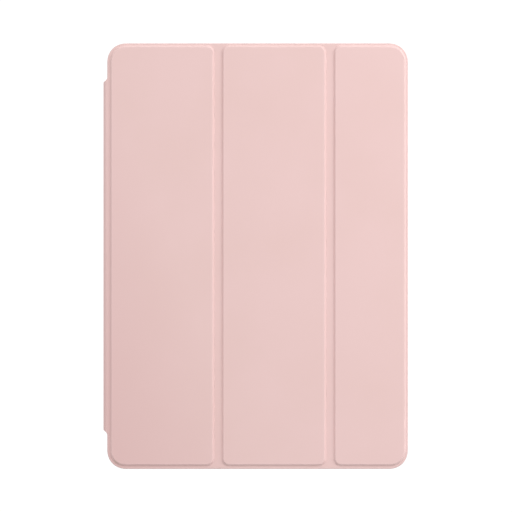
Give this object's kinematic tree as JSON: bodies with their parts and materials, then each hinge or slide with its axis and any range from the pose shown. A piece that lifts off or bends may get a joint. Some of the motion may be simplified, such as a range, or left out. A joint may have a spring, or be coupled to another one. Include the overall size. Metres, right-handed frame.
{
  "type": "folding tablet cover",
  "caption": "Magnetic folding front cover for a tablet: stiff panels in a soft skin, joined by flexible gutters, with a spine bar that clasps the tablet's side.",
  "frame": {"origin": "under the middle of the closed cover, level with the lower edge of its spine bar", "axes": "+X across the cover from the spine to the free edge, +Y along the spine, +Z out of the outer face, away from the screen"},
  "size_m": [0.1718, 0.24, 0.0091],
  "materials": {
    "skin": "smooth matt polyurethane over a fabric base",
    "lining": "short suede-like microfibre",
    "board": "plain glass-fibre sheet",
    "core": "plain moulded nylon",
    "magnet": "nickel-plated",
    "shunt": "cold-rolled, bare"
  },
  "bodies": {
    "spine": {"spine_skin": "skin", "spine_core": "core", "spine_magnets": "magnet", "spine_shunts": "shunt", "spine_lining": "lining"},
    "spine_web": {"spine_web_skin": "skin", "spine_web_lining": "lining"},
    "panel_1": {"panel_1_skin": "skin", "panel_1_board": "board", "panel_1_catch_plates": "shunt", "panel_1_lining": "lining"},
    "fold_web_1": {"fold_1_skin": "skin", "fold_1_lining": "lining"},
    "panel_2": {"panel_2_skin": "skin", "panel_2_board": "board", "panel_2_lining": "lining"},
    "fold_web_2": {"fold_2_skin": "skin", "fold_2_lining": "lining"},
    "panel_3": {"panel_3_skin": "skin", "panel_3_board": "board", "panel_3_edge_magnets": "magnet", "panel_3_edge_shunts": "shunt", "sleep_magnet": "magnet", "panel_3_lining": "lining"}
  },
  "joints": [
    {"name": "spine_lower_bend", "type": "hinge", "parent": "spine", "child": "spine_web", "pos_m": [-0.086, 0, 0.00255], "axis": [0, -1, 0], "range_deg": [0, 179.5]},
    {"name": "spine_upper_bend", "type": "hinge", "parent": "spine_web", "child": "panel_1", "pos_m": [-0.0855, 0, 0.0074], "axis": [0, -1, 0], "range_deg": [0, 179.5]},
    {"name": "first_fold_near_bend", "type": "hinge", "parent": "panel_1", "child": "fold_web_1", "pos_m": [-0.02343, 0, 0.0074], "axis": [0, -1, 0], "range_deg": [-70, 70]},
    {"name": "first_fold_far_bend", "type": "hinge", "parent": "fold_web_1", "child": "panel_2", "pos_m": [-0.01963, 0, 0.0074], "axis": [0, -1, 0], "range_deg": [-70, 70]},
    {"name": "second_fold_near_bend", "type": "hinge", "parent": "panel_2", "child": "fold_web_2", "pos_m": [0.03968, 0, 0.0074], "axis": [0, -1, 0], "range_deg": [-89.5, 89.5]},
    {"name": "second_fold_far_bend", "type": "hinge", "parent": "fold_web_2", "child": "panel_3", "pos_m": [0.04347, 0, 0.0074], "axis": [0, -1, 0], "range_deg": [-89.5, 89.5]}
  ],
  "couplings": [
    {"joint": "spine_lower_bend", "follows": "spine_upper_bend", "ratio": 1},
    {"joint": "first_fold_near_bend", "follows": "first_fold_far_bend", "ratio": 1},
    {"joint": "second_fold_near_bend", "follows": "second_fold_far_bend", "ratio": 1}
  ]
}
